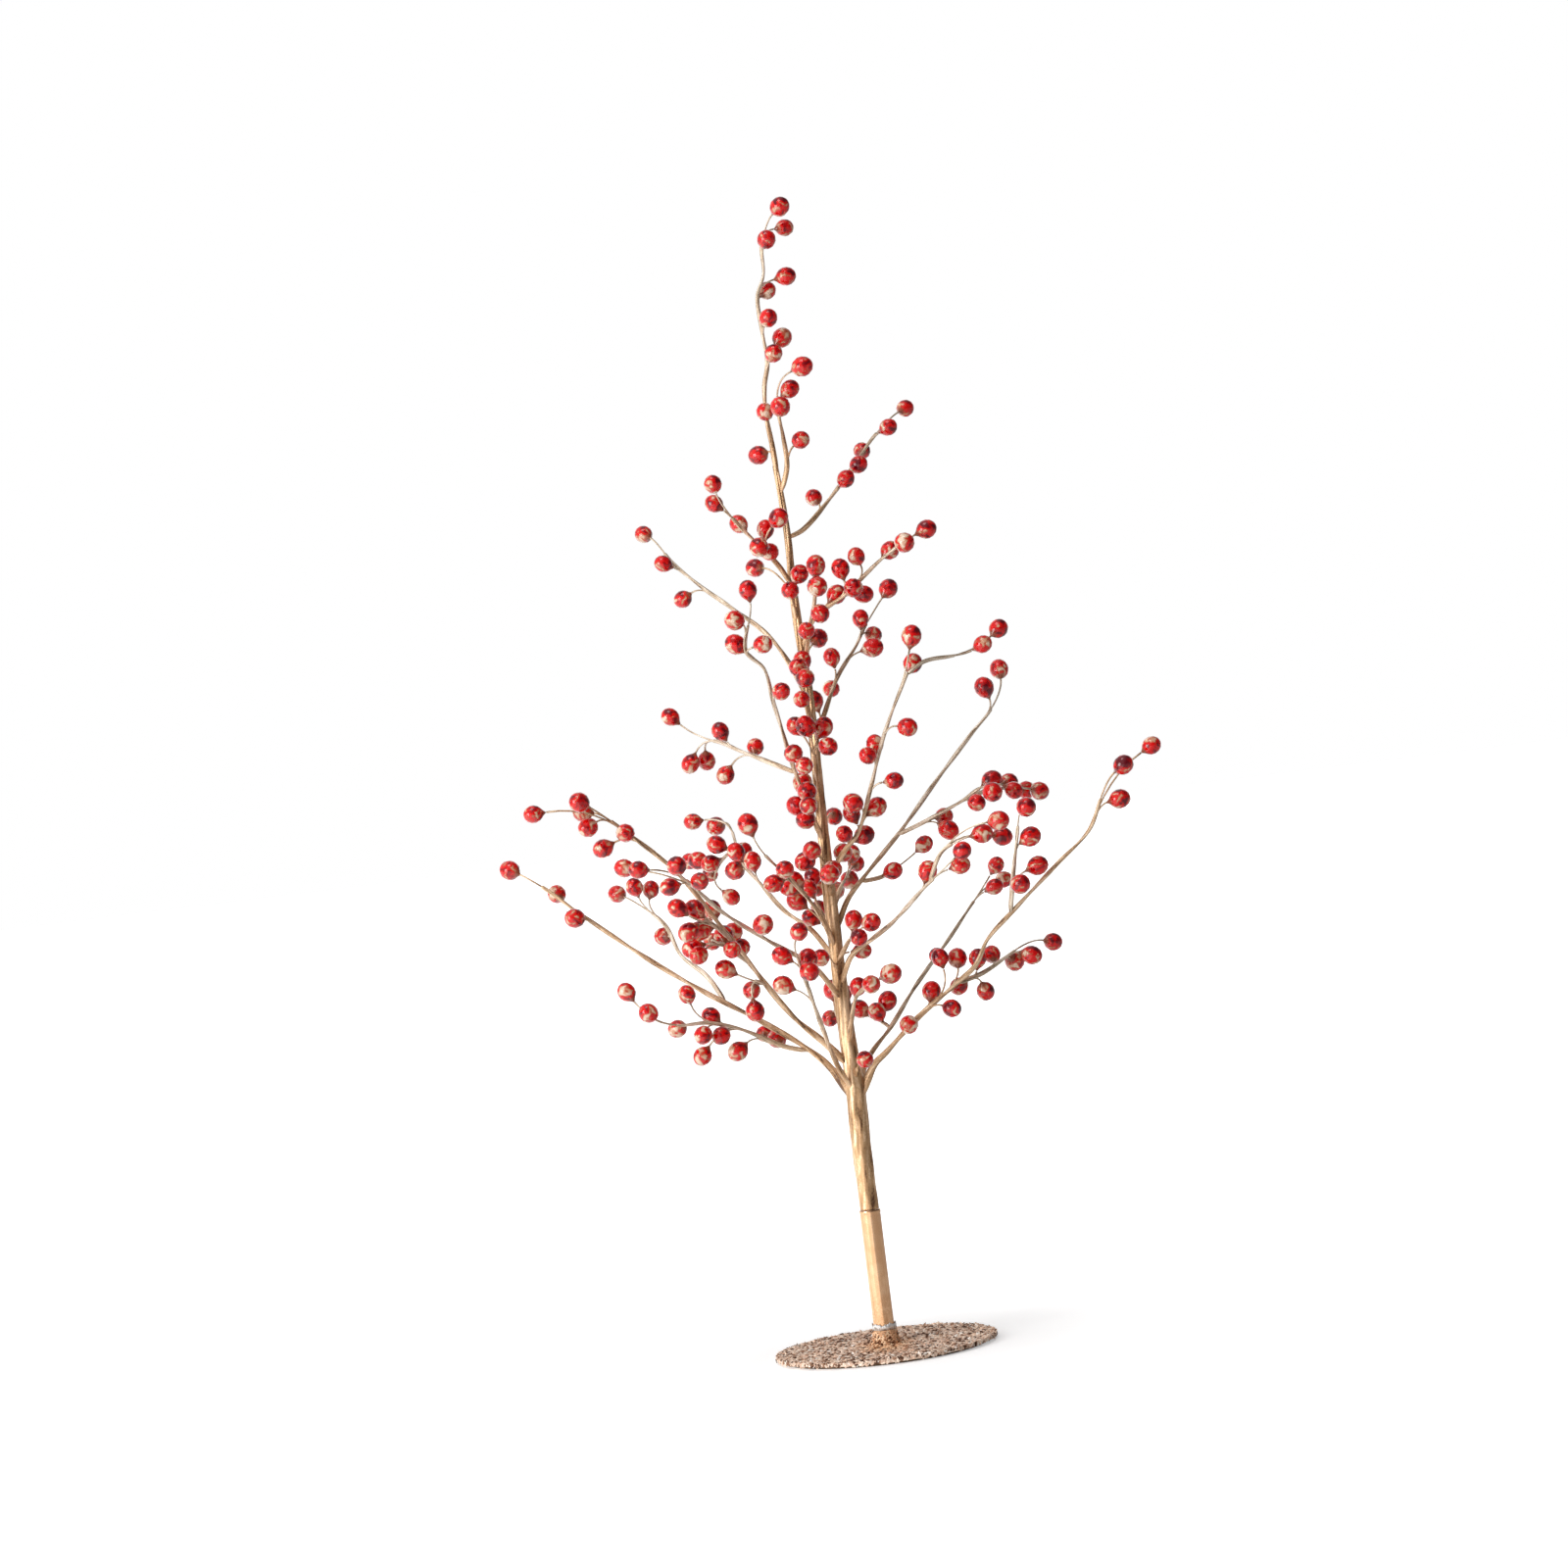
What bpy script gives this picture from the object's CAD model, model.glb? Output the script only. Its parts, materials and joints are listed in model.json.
import json
import math

import bpy
import numpy as np
from mathutils import Matrix, Vector


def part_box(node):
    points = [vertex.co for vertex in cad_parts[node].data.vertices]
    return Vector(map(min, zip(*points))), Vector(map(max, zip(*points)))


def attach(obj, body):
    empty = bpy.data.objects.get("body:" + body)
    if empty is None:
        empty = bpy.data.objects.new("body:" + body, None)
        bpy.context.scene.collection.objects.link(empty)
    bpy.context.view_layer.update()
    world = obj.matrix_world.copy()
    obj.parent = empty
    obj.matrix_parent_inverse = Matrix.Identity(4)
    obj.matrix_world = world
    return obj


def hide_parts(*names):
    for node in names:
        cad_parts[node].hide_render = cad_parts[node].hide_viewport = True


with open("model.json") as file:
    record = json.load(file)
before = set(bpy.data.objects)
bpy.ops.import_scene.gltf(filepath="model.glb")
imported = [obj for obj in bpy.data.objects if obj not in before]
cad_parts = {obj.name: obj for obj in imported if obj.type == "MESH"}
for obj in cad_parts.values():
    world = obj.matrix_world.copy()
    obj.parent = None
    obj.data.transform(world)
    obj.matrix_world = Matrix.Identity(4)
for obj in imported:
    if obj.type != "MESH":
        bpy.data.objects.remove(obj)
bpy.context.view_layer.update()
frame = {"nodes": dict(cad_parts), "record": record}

# Felt pad
# A disc of brown felt, stamped out and glued under the plate so that the tree doesn't scratch the table.
# Its cut edge is slightly rounded and fuzzy.
MM = 0.001
PAD_SIDES = 160
PAD_EDGE = 0.25
FELT_STOPS = [(0.35, (0.11, 0.07, 0.04, 1)), (0.65, (0.2, 0.135, 0.078, 1))]
FELT_ROUGHNESS = 0.96
FELT_SHEEN = 0.4
FIBRE_SCALE = 1800
FUZZ_STRENGTH = 0.5
FUZZ_DEPTH = 0.3 * MM


def node(tree, kind, inputs=None, **settings):
    """Adds a shader node: settings are its own values, inputs are values or links for its sockets."""
    made = tree.nodes.new(kind)
    for key, value in settings.items():
        setattr(made, key, value)
    for socket, value in (inputs or {}).items():
        if isinstance(value, bpy.types.NodeSocket):
            tree.links.new(value, made.inputs[socket])
        else:
            made.inputs[socket].default_value = value
    return made


def new_material(name, **sockets):
    """A material with one Principled surface whose plain sockets are set here."""
    material = bpy.data.materials.new(name)
    material.use_nodes = True
    surface = material.node_tree.nodes["Principled BSDF"]
    for socket, value in sockets.items():
        surface.inputs[socket.replace("_", " ")].default_value = value
    return material, material.node_tree, surface


def ramp(tree, factor, stops, smooth=True):
    """A colour ramp from pairs of position and colour."""
    made = node(tree, "ShaderNodeValToRGB", {"Fac": factor})
    made.color_ramp.interpolation = "EASE" if smooth else "CONSTANT"
    for k, (position, colour) in enumerate(stops):
        stop = made.color_ramp.elements[k] if k < 2 else made.color_ramp.elements.new(position)
        stop.position = position
        stop.color = colour
    return made.outputs["Color"]


def noise(tree, scale, on=None, **sockets):
    """Noise over the piece's own coordinates, or over the given ones."""
    if on is None:
        on = node(tree, "ShaderNodeTexCoord").outputs["Object"]
    return node(tree, "ShaderNodeTexNoise", {"Vector": on, "Scale": scale, **sockets}).outputs["Fac"]


def bumps(tree, height, strength, depth):
    """The surface's normal, tilted by the rise and fall of a height of this depth."""
    made = node(tree, "ShaderNodeBump", {"Height": height, "Strength": strength, "Distance": depth})
    return made.outputs["Normal"]


def feed(tree, surface, **links):
    """Links the sockets of a surface to what drives them."""
    for socket, value in links.items():
        tree.links.new(value, surface.inputs[socket.replace("_", " ")])


def skin(rings, joined=False):
    """Faces over rings of points: each quad joins neighbours on one ring to those on the next, and the last
    point of a ring joins its first. The ends are closed by fans, or the last ring joins the first."""
    rows, around = rings.shape[:2]
    index = np.arange(rows * around).reshape(rows, around)
    low, high = (index, np.roll(index, -1, 0)) if joined else (index[:-1], index[1:])
    quads = np.stack([low, np.roll(low, -1, 1), np.roll(high, -1, 1), high], -1).reshape(-1, 4)
    points = rings.reshape(-1, 3)
    if joined:
        return points, [quads]
    middle = len(points)
    points = np.vstack([points, rings[0].mean(0), rings[-1].mean(0)])
    foot = np.stack([np.roll(index[0], -1), index[0], np.full(around, middle)], -1)
    head = np.stack([index[-1], np.roll(index[-1], -1), np.full(around, middle + 1)], -1)
    return points, [quads, np.vstack([foot, head])]


def turned(profile, around):
    """Rings of a profile turned about the pole's axis: (r cos a, r sin a, height), in millimetres."""
    profile = np.array(profile, float)
    angle = np.arange(around) / around * 2 * np.pi
    radius, height = profile[:, 0, None], profile[:, 1, None]
    return np.stack([radius * np.cos(angle), radius * np.sin(angle), height + 0 * angle], -1)


def new_piece(name, shape, material, body, nodes=(), attributes=None):
    """Puts points in millimetres and their faces into a smooth mesh, and fixes it to its CAD body."""
    points, faces = shape
    corners = np.concatenate([face.ravel() for face in faces])
    sizes = np.concatenate([np.full(len(face), face.shape[1]) for face in faces])
    mesh = bpy.data.meshes.new(name)
    mesh.vertices.add(len(points))
    mesh.vertices.foreach_set("co", (points * MM).astype(np.float32).ravel())
    mesh.loops.add(len(corners))
    mesh.loops.foreach_set("vertex_index", corners.astype(np.int32))
    mesh.polygons.add(len(sizes))
    mesh.polygons.foreach_set("loop_start", (np.cumsum(sizes) - sizes).astype(np.int32))
    mesh.polygons.foreach_set("use_smooth", np.ones(len(sizes), bool))
    for key, values in (attributes or {}).items():
        kind, field = ("FLOAT_VECTOR", "vector") if values.ndim == 2 else ("FLOAT", "value")
        mesh.attributes.new(key, kind, "POINT").data.foreach_set(field, values.astype(np.float32).ravel())
    mesh.update(calc_edges=True)
    mesh.materials.append(material)
    piece = bpy.data.objects.new(name, mesh)
    bpy.context.scene.collection.objects.link(piece)
    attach(piece, body)
    if nodes:
        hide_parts(*nodes)
    return piece


def millimetres(name):
    """Radius, foot and top of a CAD node that stands on the pole's axis."""
    low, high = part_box(name)
    return high.x / MM, low.z / MM, high.z / MM


felt, tree, surface = new_material("brown felt", Roughness=FELT_ROUGHNESS, Sheen_Weight=FELT_SHEEN)
fibres = noise(tree, FIBRE_SCALE, Detail=4)
feed(tree, surface, Base_Color=ramp(tree, fibres, FELT_STOPS),
     Normal=bumps(tree, fibres, FUZZ_STRENGTH, FUZZ_DEPTH))
pad_radius, pad_foot, pad_top = millimetres("base_pad")
pad_profile = [(pad_radius - PAD_EDGE, pad_foot), (pad_radius, pad_foot + PAD_EDGE),
               (pad_radius, pad_top - PAD_EDGE), (pad_radius - PAD_EDGE, pad_top)]
new_piece("felt_pad", skin(turned(pad_profile, PAD_SIDES)), felt, "base", ["base_pad"])

# Base plate and socket
# A round steel plate with a small cone-shaped socket on its middle, both brushed with glue and strewn with
# coarse champagne glitter. The grains are real little flakes that lie tilted in the glue. Near the pole they
# are warmer, where its gold coat ran down.
PLATE_SIDES = 192
PLATE_ROUNDING = 0.7
ROUNDING_ROWS = 6
SOCKET_SIDES = 48
SOCKET_ROWS = 8
SOCKET_NECK = 6.2
SOCKET_FLARE = 0.7
FLAKE_SEED = 11
FLAKES_ON_PLATE = 3000
FLAKES_ON_RIM = 700
FLAKES_ON_SOCKET = 420
PLATE_FLAKE_RADII = (0.7, 1.75)
SOCKET_FLAKE_RADII = (0.4, 0.95)
FLAKE_TILT = 0.38
FLAKE_CORNERS = 4
FLAKE_CORNER_SHARES = (0.7, 1.1)
FLAKE_THICKNESS_SHARE = 0.34
FLAKE_SCATTER = 0.35
FLAKE_MARGIN = 0.4
FLAKED_SHARE = 0.92
GRAIN_SCALE = 480
GRAIN_METALLIC = 0.3
GRAIN_GLOSS = 0.2
GRAIN_ROUGHNESS = (0.75, 0.4)
GRAIN_DARK = (0.12, 0.055, 0.032, 1)
GRAIN_BROWN = (0.34, 0.19, 0.12, 1)
GRAIN_BEIGE = (0.76, 0.54, 0.41, 1)
GRAIN_PALE = (0.91, 0.73, 0.59, 1)
GRAIN_BRIGHT = (0.97, 0.88, 0.79, 1)
GRAIN_STOPS = [(0, GRAIN_DARK), (0.12, GRAIN_BROWN), (0.27, GRAIN_BEIGE), (0.6, GRAIN_PALE),
               (0.92, GRAIN_BRIGHT)]
WARM_TINT = (1.0, 0.82, 0.62, 1)
WARM_REACH = (7 * MM, 18 * MM)
WARM_FORWARD = 4 * MM
WARM_SQUEEZE = (1, 0.5, 0)


def mapped(tree, value, reach=(0, 1), result=(0, 1), smooth=False):
    """A value within reach, turned evenly or with soft ends into one within result."""
    made = node(tree, "ShaderNodeMapRange", {"Value": value, "From Min": reach[0], "From Max": reach[1],
                                             "To Min": result[0], "To Max": result[1]},
                interpolation_type="SMOOTHSTEP" if smooth else "LINEAR")
    return made.outputs["Result"]


def mixed(tree, factor, first, second, way="MIX"):
    """Two colours mixed, the second one by the factor."""
    made = node(tree, "ShaderNodeMixRGB", {"Fac": factor, "Color1": first, "Color2": second}, blend_type=way)
    return made.outputs["Color"]


def grain_group():
    """Glitter colour from a number between 0 and 1: five tones from dark brown to nearly white, warmer within
    reach of the pole and a little further toward its front."""
    group = bpy.data.node_groups.new("glitter colour", "ShaderNodeTree")
    group.interface.new_socket("Tone", in_out="INPUT", socket_type="NodeSocketFloat")
    group.interface.new_socket("Color", in_out="OUTPUT", socket_type="NodeSocketColor")
    given = group.nodes.new("NodeGroupInput")
    colour = ramp(group, given.outputs["Tone"], GRAIN_STOPS, smooth=False)
    spread = node(group, "ShaderNodeMapping", {"Vector": node(group, "ShaderNodeTexCoord").outputs["Object"],
                                               "Location": (0, WARM_FORWARD, 0), "Scale": WARM_SQUEEZE})
    reach = node(group, "ShaderNodeVectorMath", {0: spread.outputs["Vector"]}, operation="LENGTH")
    warmth = mapped(group, reach.outputs["Value"], WARM_REACH, (1, 0))
    feed(group, group.nodes.new("NodeGroupOutput"), Color=mixed(group, warmth, colour, WARM_TINT, "MULTIPLY"))
    return group


def glitter_material(name, tone_of):
    """Glitter: tone_of gives the socket with each grain's tone."""
    material, tree, surface = new_material(name, Metallic=GRAIN_METALLIC, Specular_IOR_Level=GRAIN_GLOSS)
    tone = tone_of(tree)
    colour = node(tree, "ShaderNodeGroup", node_tree=grains)
    feed(tree, colour, Tone=tone)
    feed(tree, surface, Base_Color=colour.outputs["Color"],
         Roughness=mapped(tree, tone, result=GRAIN_ROUGHNESS))
    return material


def coat_tone(tree):
    """The tone of each fine grain in the glue coat: one for each cell of a Voronoi pattern."""
    cells = node(tree, "ShaderNodeTexVoronoi", {"Vector": node(tree, "ShaderNodeTexCoord").outputs["Object"],
                                                "Scale": GRAIN_SCALE})
    return node(tree, "ShaderNodeSeparateColor", {"Color": cells.outputs["Color"]}).outputs["Red"]


def flake_tone(tree):
    """Each loose flake's own tone."""
    return node(tree, "ShaderNodeAttribute", attribute_name="tone").outputs["Fac"]


def many(points, one, count):
    """The faces of one form, repeated for each copy of its points."""
    return (one[None] + np.arange(count)[:, None, None] * points).reshape(-1, one.shape[-1])


def flake_shape(centres, normals, radii, seed):
    """Closed flakes: a flat ring of four points, turned and tilted at random, between two low peaks.
    Every point is centre + ring radius (cos a, sin a) in the flake's own plane, or centre +- thickness."""
    random = np.random.default_rng(seed)
    count = len(centres)
    tilted = normals + random.normal(0, FLAKE_TILT, (count, 3))
    tilted /= np.linalg.norm(tilted, axis=1)[:, None]
    across = np.cross(tilted, random.normal(0, 1, (count, 3)))
    across /= np.linalg.norm(across, axis=1)[:, None]
    beside = np.cross(tilted, across)
    size = random.uniform(*radii, count)
    angle = np.arange(FLAKE_CORNERS) / FLAKE_CORNERS * 2 * np.pi
    stretch = random.uniform(*FLAKE_CORNER_SHARES, (count, FLAKE_CORNERS, 1))
    ring = across[:, None] * np.cos(angle)[:, None] + beside[:, None] * np.sin(angle)[:, None]
    ring = centres[:, None] + ring * size[:, None, None] * stretch
    peak = tilted * (size * FLAKE_THICKNESS_SHARE)[:, None]
    points = np.concatenate([ring, (centres + peak)[:, None], (centres - peak)[:, None]], 1)
    corner = np.arange(FLAKE_CORNERS)
    onward = (corner + 1) % FLAKE_CORNERS
    upper = np.stack([corner, onward, 0 * corner + FLAKE_CORNERS], -1)
    lower = np.stack([onward, corner, 0 * corner + FLAKE_CORNERS + 1], -1)
    each = FLAKE_CORNERS + 2
    tone = np.repeat(random.uniform(0, 1, count), each)
    return points.reshape(-1, 3), [many(each, np.vstack([upper, lower]), count)], {"tone": tone}


grains = grain_group()
coat = glitter_material("glitter coat", coat_tone)
loose = glitter_material("glitter flakes", flake_tone)
plate_radius, plate_foot, plate_top = millimetres("base_plate")
corner = np.linspace(0, np.pi / 2, ROUNDING_ROWS)
rounded = plate_radius - PLATE_ROUNDING * (1 - np.cos(corner))
drop = PLATE_ROUNDING * (1 - np.sin(corner))
plate_profile = np.vstack([np.stack([rounded, plate_foot + drop], -1)[::-1],
                           np.stack([rounded, plate_top - drop], -1)])
new_piece("glitter_plate", skin(turned(plate_profile, PLATE_SIDES)), coat, "base",
          ["base_plate"])

random = np.random.default_rng(FLAKE_SEED)
spot = np.arange(FLAKES_ON_PLATE)
reach = plate_radius * np.sqrt((spot + 0.5) / FLAKES_ON_PLATE)
reach = np.minimum(reach + random.normal(0, FLAKE_SCATTER, FLAKES_ON_PLATE), plate_radius - FLAKE_MARGIN)
# Each flake is turned on by the golden angle, which spreads them evenly.
turn = spot * np.pi * (3 - math.sqrt(5))
on_top = np.stack([reach * np.cos(turn), reach * np.sin(turn), np.full(FLAKES_ON_PLATE, plate_top)], -1)
turn = random.uniform(0, 2 * np.pi, FLAKES_ON_RIM)
outward = np.stack([np.cos(turn), np.sin(turn), 0 * turn], -1)
on_rim = outward * (plate_radius - FLAKE_MARGIN / 2)
on_rim[:, 2] = random.uniform(plate_foot + FLAKE_MARGIN, plate_top - FLAKE_MARGIN, FLAKES_ON_RIM)
upward = np.tile([0.0, 0.0, 1.0], (FLAKES_ON_PLATE, 1))
points, faces, tones = flake_shape(np.vstack([on_top, on_rim]), np.vstack([upward, outward]),
                                   PLATE_FLAKE_RADII, FLAKE_SEED)
plate_flakes = new_piece("plate_flakes", (points, faces), loose, "base", attributes=tones)

socket_radius, socket_foot, socket_top = millimetres("trunk_socket")


def socket_reach(share):
    """The socket's radius at a share of its height: it narrows evenly and flares out at its foot."""
    return socket_radius + (SOCKET_NECK - socket_radius) * share + SOCKET_FLARE * (1 - share) ** 4


share = np.linspace(0, 1, SOCKET_ROWS)
socket_profile = np.stack([socket_reach(share), socket_foot + (socket_top - socket_foot) * share], -1)
new_piece("glitter_socket", skin(turned(socket_profile, SOCKET_SIDES)), coat, "base",
          ["trunk_socket"])
share = random.uniform(0, FLAKED_SHARE, FLAKES_ON_SOCKET)
turn = random.uniform(0, 2 * np.pi, FLAKES_ON_SOCKET)
outward = np.stack([np.cos(turn), np.sin(turn), 0 * turn], -1)
on_socket = outward * socket_reach(share)[:, None]
on_socket[:, 2] = socket_foot + (socket_top - socket_foot) * share
points, faces, tones = flake_shape(on_socket, outward, SOCKET_FLAKE_RADII, FLAKE_SEED + 1)
socket_flakes = new_piece("socket_flakes", (points, faces), loose, "base", attributes=tones)
for flakes in (plate_flakes, socket_flakes):
    flakes.data.polygons.foreach_set("use_smooth", np.zeros(len(flakes.data.polygons), bool))

# Screw and spigot
# Zinc-plated steel: the countersunk screw holds the pole down on the plate, and the spigot plugs the crown
# into the pole. Both are turned, with fine lathe lines round them.
STEEL_STOPS = [(0, (0.4, 0.41, 0.43, 1)), (1, (0.5, 0.51, 0.52, 1))]
STEEL_ROUGHNESS = (0.25, 0.45)
LATHE_SCALE = 900
LATHE_WANDER = 1.5
SPIGOT_SIDES = 32
SPIGOT_CHAMFER = 0.5
steel, tree, surface = new_material("plated steel", Metallic=1.0)
lines = node(tree, "ShaderNodeTexWave", {"Vector": node(tree, "ShaderNodeTexCoord").outputs["Object"],
                                         "Scale": LATHE_SCALE, "Distortion": LATHE_WANDER},
             bands_direction="Z").outputs["Fac"]
feed(tree, surface, Base_Color=ramp(tree, lines, STEEL_STOPS),
     Roughness=mapped(tree, lines, result=STEEL_ROUGHNESS))
frame["nodes"]["base_screw"].data.materials.clear()
frame["nodes"]["base_screw"].data.materials.append(steel)
spigot_radius, spigot_foot, spigot_top = millimetres("trunk_spigot")
chamfered = spigot_radius - SPIGOT_CHAMFER
spigot_profile = [(chamfered, spigot_foot), (spigot_radius, spigot_foot + SPIGOT_CHAMFER),
                  (spigot_radius, spigot_foot + 2 * SPIGOT_CHAMFER),
                  (spigot_radius, spigot_top - 2 * SPIGOT_CHAMFER),
                  (spigot_radius, spigot_top - SPIGOT_CHAMFER), (chamfered, spigot_top)]
new_piece("steel_spigot", skin(turned(spigot_profile, SPIGOT_SIDES)), steel, "crown",
          ["trunk_spigot"])

# Lower pole
# A slender tube with a smooth satin gold coat, rolled over at its top where the crown plugs in. Fine drawn
# lines run along it, the coat is a little uneven, and some glitter clings to its foot.
POLE_SIDES = 96
POLE_RADIUS = 5.4
POLE_BORE = 3.1
POLE_EDGE = 0.3
POLE_LIP_HALF = 0.9
POLE_LIP_SHARE = 0.3
POLE_LIP_ROWS = 9
POLE_METALLIC = 0.88
POLE_ROUGHNESS = (0.12, 0.24)
POLE_STOPS = [(0.4, (0.68, 0.385, 0.205, 1)), (0.6, (0.79, 0.49, 0.29, 1))]
POLE_DRAWN = (900, 900, 14)
BLOTCH_SCALE = 160
BLOTCH_SHARE = 0.5
HAIR_STRENGTH = 0.12
HAIR_DEPTH = 0.1 * MM
CLING_HEIGHT = 24 * MM
CLING_SHARE = 0.7
CLING_COLOUR = (0.52, 0.26, 0.11, 1)
CRUMB_SCALE = 700
CRUMB_REACH = (0.46, 0.6)


def combined(tree, operation, first, second):
    """Two values combined by arithmetic, such as their product or the larger of them."""
    return node(tree, "ShaderNodeMath", {0: first, 1: second}, operation=operation).outputs[0]


pole_lip, pole_foot, pole_top = millimetres("lower_pole")
gold, tree, surface = new_material("satin gold", Metallic=POLE_METALLIC)
place_on = node(tree, "ShaderNodeTexCoord").outputs["Object"]
drawn = node(tree, "ShaderNodeMapping", {"Vector": place_on, "Scale": POLE_DRAWN})
streaks = noise(tree, 1, drawn.outputs["Vector"], Detail=3)
blotches = noise(tree, BLOTCH_SCALE, Detail=2)
both = node(tree, "ShaderNodeMix", {0: BLOTCH_SHARE, 2: streaks, 3: blotches}).outputs[0]
upright = node(tree, "ShaderNodeSeparateXYZ", {"Vector": place_on}).outputs["Z"]
clinging = mapped(tree, upright, (pole_foot * MM, pole_foot * MM + CLING_HEIGHT), (CLING_SHARE, 0))
crumbs = mapped(tree, noise(tree, CRUMB_SCALE, Detail=2), CRUMB_REACH)
cover = combined(tree, "MULTIPLY", crumbs, clinging)
feed(tree, surface, Base_Color=mixed(tree, cover, ramp(tree, both, POLE_STOPS), CLING_COLOUR),
     Roughness=mapped(tree, both, result=POLE_ROUGHNESS),
     Normal=bumps(tree, streaks, HAIR_STRENGTH, HAIR_DEPTH))
lip_angle = np.linspace(-np.pi / 2, np.pi / 2, POLE_LIP_ROWS)
pole_profile = [(POLE_BORE, pole_foot), (POLE_RADIUS - POLE_EDGE, pole_foot),
                (POLE_RADIUS, pole_foot + POLE_EDGE), (POLE_RADIUS, pole_foot + 2 * POLE_EDGE),
                (POLE_RADIUS, pole_top - 2 * POLE_LIP_HALF - POLE_EDGE)]
pole_profile += [(POLE_RADIUS + (pole_lip - POLE_RADIUS) * POLE_LIP_SHARE * math.cos(a),
                  pole_top - POLE_LIP_HALF + POLE_LIP_HALF * math.sin(a)) for a in lip_angle]
pole_profile += [(POLE_BORE + POLE_EDGE, pole_top), (POLE_BORE, pole_top - POLE_EDGE)]
new_piece("gold_tube", skin(turned(pole_profile, POLE_SIDES), joined=True), gold, "pole",
          ["lower_pole"])

# Foot ring
# A torn strip of silver foil that is glued round the pole where it enters the glitter. Its edges are ragged
# and it stands a little off the tube.
RING_SIDES = 120
RING_WALL = 0.45
RING_RAG = 0.9
RING_INSET = 0.1
RING_LEAN = 0.1
# Each wave has its size, how many go round and where it starts.
RAG_WAVES = ((0.5, 5, 0.6), (0.3, 13, 2), (0.25, 29, 0))
RING_WOBBLE = (0.15, 9, 1)
FOIL_METALLIC = 0.3
FOIL_ROUGHNESS = 0.32
FOIL_STOPS = [(0.38, (0.46, 0.42, 0.38, 1)), (0.52, (0.9, 0.89, 0.87, 1))]
CREASE_SCALE = 700
CREASE_STRENGTH = 0.8
CREASE_DEPTH = 0.5 * MM
silver, tree, surface = new_material("silver foil", Metallic=FOIL_METALLIC, Roughness=FOIL_ROUGHNESS)
creases = noise(tree, CREASE_SCALE, Detail=4)
feed(tree, surface, Base_Color=ramp(tree, creases, FOIL_STOPS),
     Normal=bumps(tree, creases, CREASE_STRENGTH, CREASE_DEPTH))
ring_radius, ring_foot, ring_top = millimetres("foot_collar")
angle = np.arange(RING_SIDES) / RING_SIDES * 2 * np.pi
waves = sum(size * np.sin(count * angle + start) for size, count, start in RAG_WAVES)
highest = sum(size for size, _, _ in RAG_WAVES)
height = ring_top - ring_foot - RING_RAG + RING_RAG * waves / highest
size, count, start = RING_WOBBLE
outer = ring_radius - RING_INSET + size * np.sin(count * angle + start)
rows = []
for radius, share in ((outer, 0), (outer, 0.5), (outer - RING_LEAN, 1), (outer - RING_WALL, 1),
                      (outer - RING_WALL, 0.5), (outer - RING_WALL, 0)):
    rows.append(np.stack([radius * np.cos(angle), radius * np.sin(angle), ring_foot + height * share], -1))
new_piece("silver_ring", skin(np.array(rows), joined=True), silver, "pole", ["foot_collar"])

# Crown trunk
# The wires of all branches lie side by side, wound with thin paper tape and sprayed gold. Low down the coat
# is thick and smooth. Higher up the wires show through it, and they leave one by one, so the trunk thins.
TREE_HEIGHT = 600
CROWN_HALF_DEPTH = 170
VIEW_DISTANCE = 2100
VIEW_HEIGHT = 300
FOOT_PIXEL = (905, 1377)
TOP_PIXEL = (795, 202.6)
PICTURE_TURN = math.radians(7)
MM_PER_PIXEL = TREE_HEIGHT / ((FOOT_PIXEL[1] - TOP_PIXEL[1]) * math.cos(PICTURE_TURN)
                              + (FOOT_PIXEL[0] - TOP_PIXEL[0]) * math.sin(PICTURE_TURN))
TRUNK_PIXELS = [
    (886, 1234, 9.8), (879, 1170, 10), (873, 1112, 10), (865, 1060, 8.6), (858, 1010, 7.6), (851, 950, 7),
    (845, 900, 6.5), (840, 850, 6), (835, 800, 5.2), (830, 750, 4.8), (824, 700, 4.5), (816, 650, 4.4),
    (811, 615, 4.1), (808, 590, 3.9), (804, 550, 3.4), (798, 512, 3), (791, 475, 2.6)]
TRUNK_SIDES = 48
TRUNK_ROW = 0.75
TRUNK_STRANDS = 6
STRAND_DEPTH_SHARES = (0.05, 0.34)
STRAND_LAY = 420
STRAND_SWAY = 0.8
STRAND_SWAY_RATE = 0.03
LUMP_SHARE = 0.02
LUMP_RATE = 0.31
TAPE_PITCH = 9
TAPE_STEP = 0.1
TAPE_EDGE_SHARE = 0.14
TRUNK_STRETCH = (1.5, 1.5, 0.05)
TRUNK_METALLIC = 0.6
COATED_TONES = [(0.14, 0.065, 0.028, 1), (0.54, 0.32, 0.16, 1), (0.9, 0.63, 0.39, 1)]
BARE_TONES = [(0.22, 0.145, 0.09, 1), (0.58, 0.46, 0.33, 1), (0.86, 0.76, 0.63, 1)]
GILT_GRAIN_SCALE = 1100
GILT_GRAIN_SHARE = 0.22
GILT_DARK_STOPS = [(0.36, (0, 0, 0, 1)), (0.47, (1, 1, 1, 1))]
GILT_PALE_STOPS = [(0.48, (0, 0, 0, 1)), (0.6, (1, 1, 1, 1))]
GILT_ROUGHNESS = (0.25, 0.6)
GILT_STRENGTH = 0.4
GILT_DEPTH = 0.4 * MM


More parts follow.
